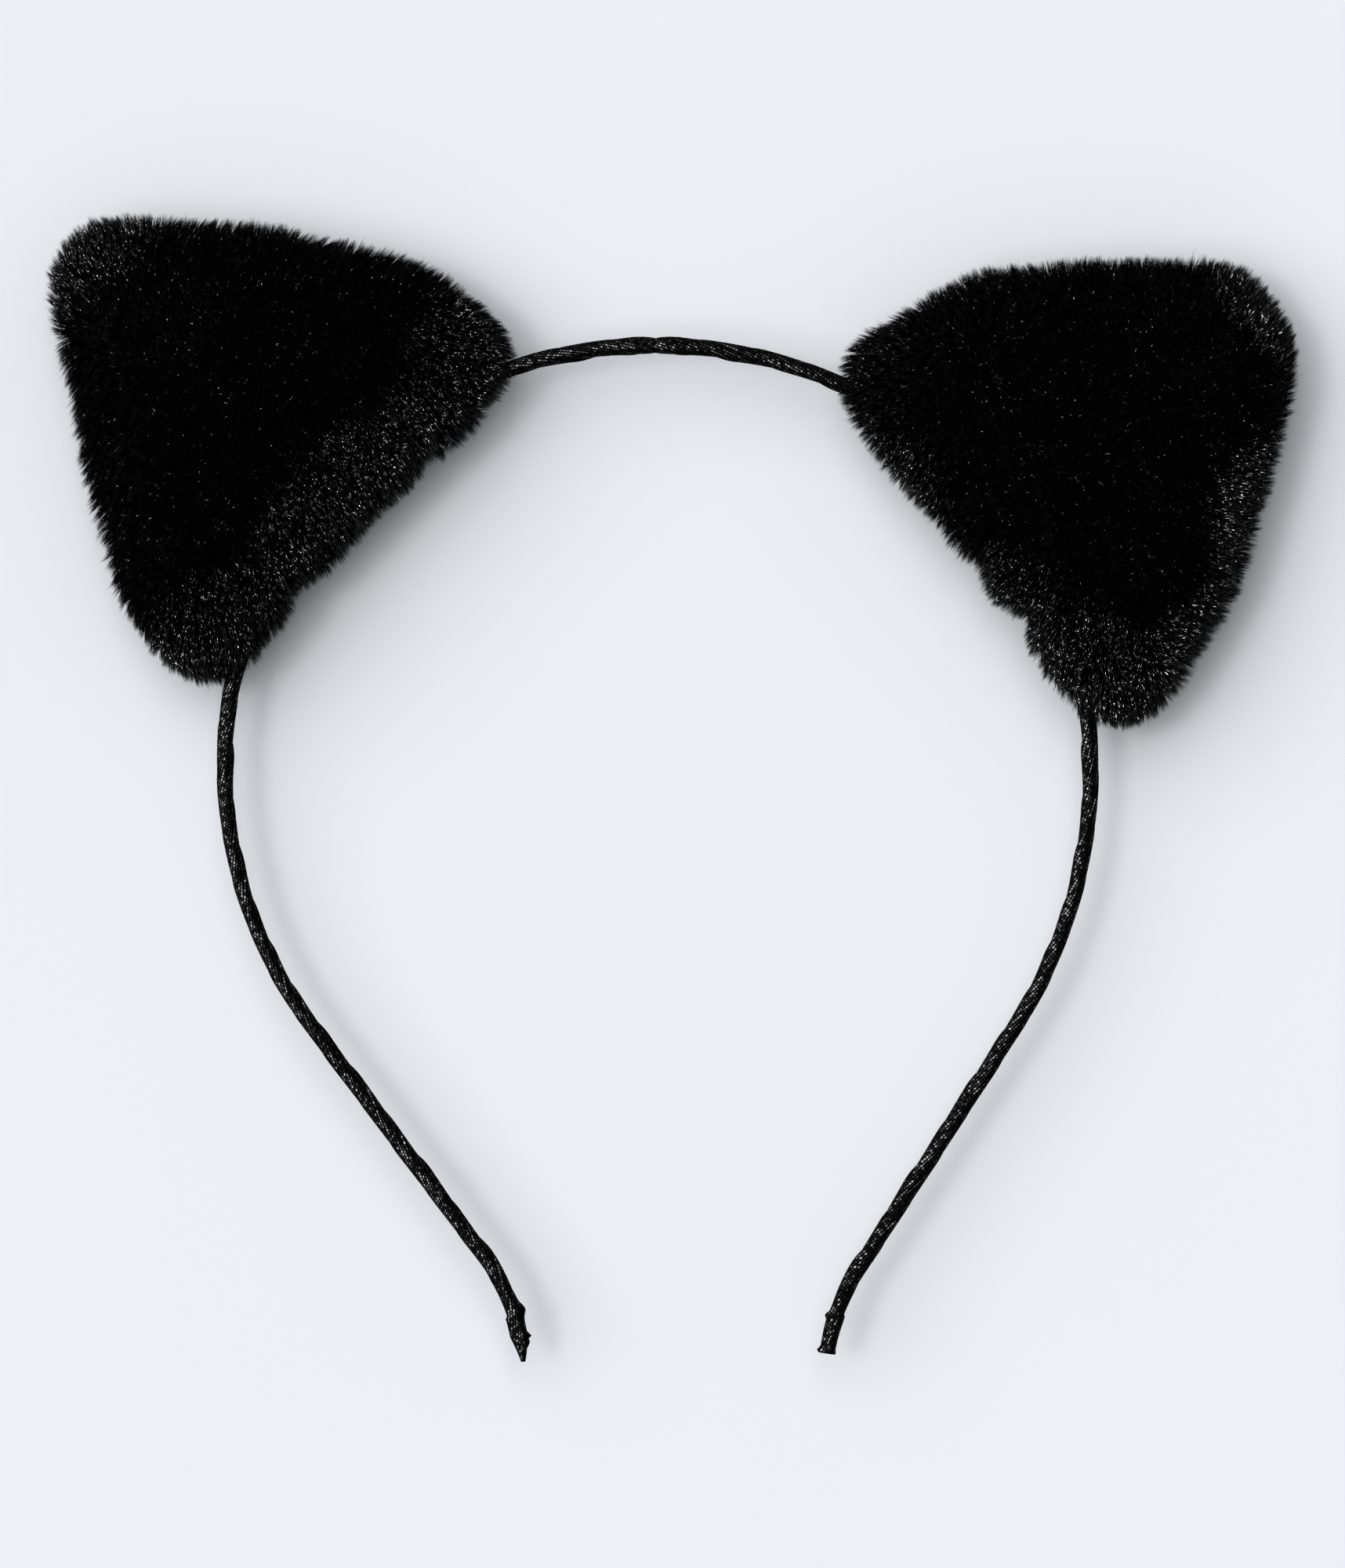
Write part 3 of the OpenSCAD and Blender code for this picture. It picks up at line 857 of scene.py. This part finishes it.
def grow_pile(side, seed):
    rng = np.random.default_rng(seed)
    pad = ear_pads[side]
    roots, normals = sow(pad.data, HAIRS_PER_EAR, rng)
    heading, lay, sleek = comb(side, roots)
    heading -= normals * (heading * normals).sum(axis=1, keepdims=True)
    swirl = smooth_noise(roots, 9 * MM, rng) * WIDE_SWIRL
    swirl += smooth_noise(roots, 3 * MM, rng) * FINE_SWIRL
    jitter = rng.normal(size=roots.shape) * JITTER
    back = normals[:, 2] < BACK_TURN
    stand = np.where(back, 0.3, 1.0 - 0.35 * lay)
    aim = unit(normals * stand[:, None] + heading * lay[:, None] + swirl + jitter)
    length = PILE_LENGTH * rng.uniform(0.72, 1.12, len(roots))
    length *= np.where(back, 0.6, 1.0)
    tips = roots + aim * length[:, None]
    tips = gather_locks(roots, tips, rng)
    stray = rng.random(len(roots)) < STRAY_SHARE
    lean = STRAY_LEAN * (1 - lay[stray, None])
    tips[stray] += rng.normal(size=(stray.sum(), 3)) * lean * (1, 1, 0)
    tips = clear_cord(side, tips)
    tips[:, 2] = np.maximum(tips[:, 2], 0.15 * MM)
    build_hairs(side, roots - normals * ROOT_DEPTH, tips, normals, sleek, stray, rng)


def clear_cord(side, tips):
    """Lays the hairs' tips beside the ribbon-wound cord, not through it."""
    start = hoop_length(side, 1) - CORD_REACH
    end = hoop_length(side, 2) + CORD_REACH
    for distance in np.arange(start, end, MM):
        away = tips - np.array(hoop_at(side, distance)[0])
        apart = np.linalg.norm(away, axis=1, keepdims=True)
        tips = tips + away / np.maximum(apart, 1e-9) * np.maximum(CORD_CLEAR - apart, 0)
    return tips


def gather_locks(roots, tips, rng):
    """Draws the hairs' tips together into small locks."""
    keep = rng.permutation(len(roots))[: max(1, len(roots) // HAIRS_PER_LOCK)]
    tree = KDTree(len(keep))
    for number, hair in enumerate(keep):
        tree.insert(roots[hair], number)
    tree.balance()
    owner = np.array([keep[tree.find(root)[1]] for root in roots])
    lying = np.linalg.norm(unit(tips - roots)[:, :2], axis=1)
    pull = rng.uniform(0.1, 0.4, len(roots)) + 0.4 * lying**2
    pull *= 1 - 0.5 * (np.linalg.norm(roots[owner] - roots, axis=1) > LOCK_GAP)
    return tips + (tips[owner] - tips) * pull[:, None]


def build_hairs(side, roots, tips, normals, sleek, stray, rng):
    """Copies the hair shape along every root and tip, in pieces small enough to keep whole."""
    shape, faces = hair_shape()
    up_hair = shape[None, :, 2:3]
    run = tips - roots
    length = np.linalg.norm(run, axis=1, keepdims=True)
    run = unit(run)
    across = unit(np.cross(run, np.array((0.31, 0.17, 0.94))))
    over = np.cross(run, across)
    lying = np.clip((np.linalg.norm(run[:, :2], axis=1) - 0.35) / 0.4, 0, 1)
    # Each hair's gloss: flat, sleek and stray hairs glint more, and glinting hairs also get a painted sheen
    # in their colour.
    shade = rng.uniform(0, 1, len(roots)) ** 0.75 * np.minimum(0.55 + 0.45 * lying * sleek, 1.15)
    shade = np.where(stray, np.maximum(shade, STRAY_SHINE), shade)
    radius = HAIR_R * rng.uniform(0.75, 1.15, (len(roots), 1)) * (1 + 0.5 * (shade[:, None] > 0.8))
    bow = normals * length * rng.uniform(0.02, 0.09, (len(roots), 1))
    spin = rng.uniform(0, math.tau, (len(roots), 1))
    first = across * np.cos(spin) + over * np.sin(spin)
    second = over * np.cos(spin) - across * np.sin(spin)
    order = np.argsort(roots @ np.array(ear_matrix(side).col[1].xyz))
    parts = math.ceil(len(roots) / MOST_HAIRS)
    for part, chosen in enumerate(np.array_split(order, parts)):
        points = roots[chosen, None, :] + run[chosen, None, :] * (length[chosen, None] * up_hair)
        points += first[chosen, None, :] * (radius[chosen, None] * shape[None, :, 0:1])
        points += second[chosen, None, :] * (radius[chosen, None] * shape[None, :, 1:2])
        points += bow[chosen, None, :] * (4 * up_hair * (1 - up_hair))
        points[:, :, 2] = np.maximum(points[:, :, 2], 0.05 * MM)
        copies = np.arange(len(chosen))[:, None, None] * len(shape)
        mesh = bpy.data.meshes.new(f"fur_pile_{side}_{part + 1}")
        fill_mesh(mesh, points.reshape(-1, 3), (faces[None] + copies).reshape(-1, 3))
        # This per-hair gloss also sets the painted sheen: paler colour towards the tips of glinting hairs.
        gloss_and_painted_sheen = mesh.attributes.new("gloss_and_painted_sheen", "FLOAT", "POINT")
        gloss_and_painted_sheen.data.foreach_set("value", np.repeat(shade[chosen], len(shape)).astype(np.float32))
        reach = mesh.attributes.new("reach", "FLOAT", "POINT")
        reach.data.foreach_set("value", np.tile(shape[:, 2], len(chosen)).astype(np.float32))
        mesh.materials.append(guard_hair)
        pile = bpy.data.objects.new(mesh.name, mesh)
        bpy.context.collection.objects.link(pile)
        fur_glints.objects.link(pile)
        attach(pile, f"ear_{side}")


def fill_mesh(mesh, points, triangles):
    mesh.vertices.add(len(points))
    mesh.vertices.foreach_set("co", points.astype(np.float32).ravel())
    mesh.loops.add(triangles.size)
    mesh.loops.foreach_set("vertex_index", triangles.astype(np.int32).ravel())
    mesh.polygons.add(len(triangles))
    mesh.polygons.foreach_set("loop_start", np.arange(0, triangles.size, 3, dtype=np.int32))
    mesh.polygons.foreach_set("use_smooth", np.ones(len(triangles), dtype=bool))
    mesh.update(calc_edges=True)
    mesh.validate()


def guard_hair_material():
    """Glossy black guard hairs with a coat of gloss on the glinting ones, which are also painted paler
    towards their tips, a painted sheen.
    """
    material, nodes, links, shader = new_finish("guard_hair")
    gloss_and_painted_sheen = nodes.new("ShaderNodeAttribute")
    gloss_and_painted_sheen.attribute_name = "gloss_and_painted_sheen"
    reach = nodes.new("ShaderNodeAttribute")
    reach.attribute_name = "reach"
    shine = nodes.new("ShaderNodeMapRange")
    shine.inputs["From Min"].default_value = 0.82
    shine.inputs["From Max"].default_value = 0.97
    links.new(gloss_and_painted_sheen.outputs["Fac"], shine.inputs["Value"])
    mixed = nodes.new("ShaderNodeMath")
    mixed.operation = "MULTIPLY"
    links.new(shine.outputs["Result"], mixed.inputs[0])
    links.new(reach.outputs["Fac"], mixed.inputs[1])
    # Painted sheen: the glinting hairs' colour is painted paler towards their tips.
    colour = nodes.new("ShaderNodeMix")
    colour.data_type = "RGBA"
    colour.inputs["A"].default_value = (0.0003, 0.0003, 0.0004, 1)
    colour.inputs["B"].default_value = (0.012, 0.0117, 0.012, 1)
    links.new(mixed.outputs["Value"], colour.inputs["Factor"])
    links.new(colour.outputs["Result"], shader.inputs["Base Color"])
    gloss = nodes.new("ShaderNodeMapRange")
    gloss.inputs["To Min"].default_value = 0.48
    gloss.inputs["To Max"].default_value = 0.3
    links.new(gloss_and_painted_sheen.outputs["Fac"], gloss.inputs["Value"])
    links.new(gloss.outputs["Result"], shader.inputs["Roughness"])
    links.new(shine.outputs["Result"], shader.inputs["Coat Weight"])
    shader.inputs["Coat Roughness"].default_value = 0.24
    shader.inputs["Coat IOR"].default_value = 2.0
    shader.inputs["Specular IOR Level"].default_value = 0.03
    return material


guard_hair = guard_hair_material()
grow_pile("left", 11)
grow_pile("right", 23)
